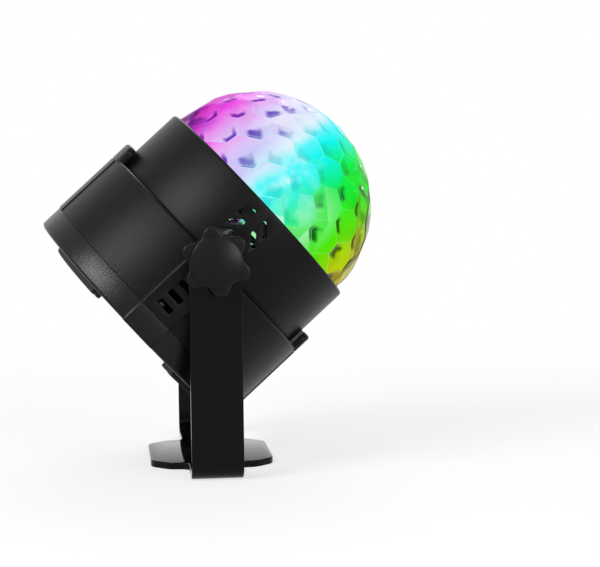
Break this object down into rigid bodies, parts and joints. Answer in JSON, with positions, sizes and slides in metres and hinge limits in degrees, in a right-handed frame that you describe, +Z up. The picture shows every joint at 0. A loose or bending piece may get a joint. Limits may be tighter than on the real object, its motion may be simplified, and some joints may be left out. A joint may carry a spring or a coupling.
{
  "type": "led disco projector",
  "caption": "Small party light: a clear faceted dome on a stepped round black housing, tilting in a U-shaped bracket between lobed thumb knobs, with a spinning lens over coloured LEDs.",
  "frame": {"origin": "centre of the bracket's flat underside, under the tilt axis", "axes": "+Z up from the resting face, Y along the tilt axis with the microphone slots on the -Y side, +X the way the dome leans at rest"},
  "size_m": [0.1117, 0.1136, 0.1251],
  "materials": {
    "black_plastic": "satin black, fine moulded grain",
    "knob_plastic": "smooth satin black",
    "bracket_plastic": "smooth satin black",
    "foot_rubber": "matt",
    "clear_plastic": "clear, polished",
    "steel": "bright plated",
    "brass": "turned and knurled",
    "aluminium": "plain stamped sheet",
    "white_board": "white solder mask",
    "green_board": "green solder mask",
    "inlet_plastic": "moulded black",
    "capacitor_sleeve": "shrunk sleeve",
    "chip_resin": "moulded resin",
    "red_led": "clear tinted resin",
    "green_led": "clear tinted resin",
    "blue_led": "clear tinted resin"
  },
  "bodies": {
    "bracket": {"bracket": "bracket_plastic"},
    "near_knob": {"near_knob": "knob_plastic", "near_knob_cap": "knob_plastic", "near_knob_screw": "steel"},
    "far_knob": {"far_knob": "knob_plastic", "far_knob_cap": "knob_plastic", "far_knob_screw": "steel"},
    "rotor": {"lens_rotor": "clear_plastic", "rotor_shaft": "steel"},
    "head": {"front_housing": "black_plastic", "rear_housing": "black_plastic", "rear_cover": "black_plastic", "left_rear_foot": "foot_rubber", "right_rear_foot": "foot_rubber", "dome": "clear_plastic", "dome_ring": "black_plastic", "motor": "steel", "motor_screw_left": "steel", "motor_screw_right": "steel", "lamp_plate": "aluminium", "led_board": "white_board", "board_screw_1": "steel", "board_screw_2": "steel", "board_screw_3": "steel", "red_led": "red_led", "green_led": "green_led", "blue_led": "blue_led", "red_lens": "clear_plastic", "green_lens": "clear_plastic", "blue_lens": "clear_plastic", "control_board": "green_board", "control_chip": "chip_resin", "control_screw_1": "steel", "control_screw_2": "steel", "control_screw_3": "steel", "left_capacitor": "capacitor_sleeve", "right_capacitor": "capacitor_sleeve", "microphone": "steel", "power_inlet": "inlet_plastic", "housing_screw_1": "steel", "housing_screw_2": "steel", "housing_screw_3": "steel", "housing_screw_4": "steel", "near_insert": "brass", "far_insert": "brass"}
  },
  "joints": [
    {"name": "head_tilt", "type": "hinge", "parent": "bracket", "child": "head", "pos_m": [0, 0, 0.0702], "axis": [0, 1, 0], "range_deg": [-227.9, 132.1]},
    {"name": "near_knob_turn", "type": "hinge", "parent": "bracket", "child": "near_knob", "pos_m": [0, 0, 0.0702], "axis": [0, -1, 0], "range_deg": [0, 360]},
    {"name": "far_knob_turn", "type": "hinge", "parent": "bracket", "child": "far_knob", "pos_m": [0, 0, 0.0702], "axis": [0, 1, 0], "range_deg": [0, 360]},
    {"name": "rotor_spin", "type": "hinge", "parent": "head", "child": "rotor", "pos_m": [0, 0, 0.0702], "axis": [0.742, 0, 0.6704], "continuous": true}
  ]
}
